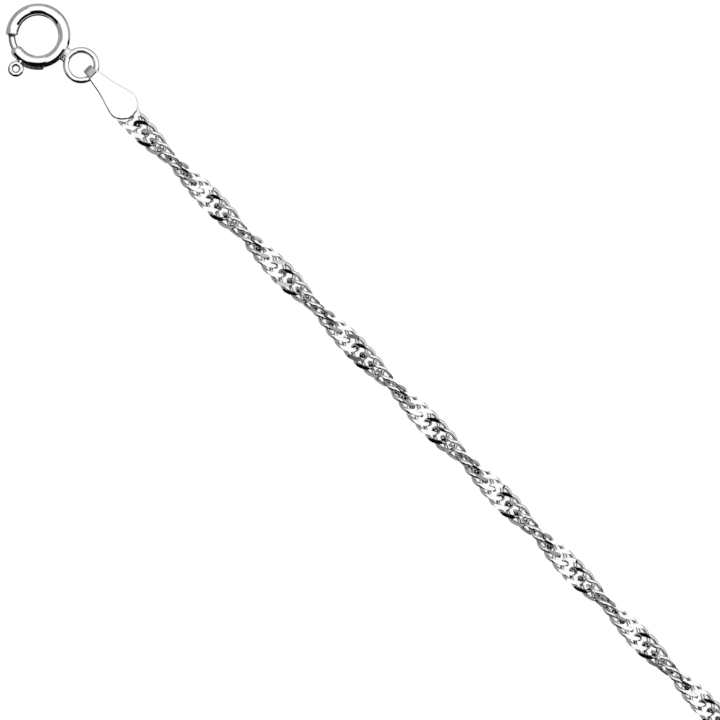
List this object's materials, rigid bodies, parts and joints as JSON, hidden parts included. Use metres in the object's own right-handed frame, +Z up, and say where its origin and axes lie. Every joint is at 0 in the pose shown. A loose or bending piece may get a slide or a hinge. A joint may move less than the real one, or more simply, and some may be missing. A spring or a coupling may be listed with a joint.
{
  "type": "singapore chain necklace",
  "caption": "Twisted singapore chain necklace of silver wire, a whole loop with a spring ring clasp, folded end tags and a closed end ring, lying flat and unfastened.",
  "frame": {"origin": "middle of the loop's box, on the surface that the necklace lies on", "axes": "+X along the upper straight of the loop, from the clasp into the chain; +Y from the middle of the loop to that straight; +Z up from the surface"},
  "size_m": [0.1886, 0.0793, 0.0023],
  "materials": {
    "polished_silver": "polished silver",
    "cut_silver": "polished silver with flat diamond-cut faces"
  },
  "bodies": {
    "necklace": {"clasp_ring": "polished_silver", "clasp_tag": "polished_silver", "chain": "cut_silver", "end_tag": "polished_silver", "end_ring": "polished_silver"},
    "bolt": {"clasp_bolt": "polished_silver"}
  },
  "joints": [
    {"name": "bolt_slide", "type": "hinge", "parent": "necklace", "child": "bolt", "pos_m": [-0.03778, 0.0372, 0.00057], "axis": [0, 0, 1], "range_deg": [0, 36], "stiffness_Nm_per_rad": 0.004, "springref_deg": -17.19}
  ]
}
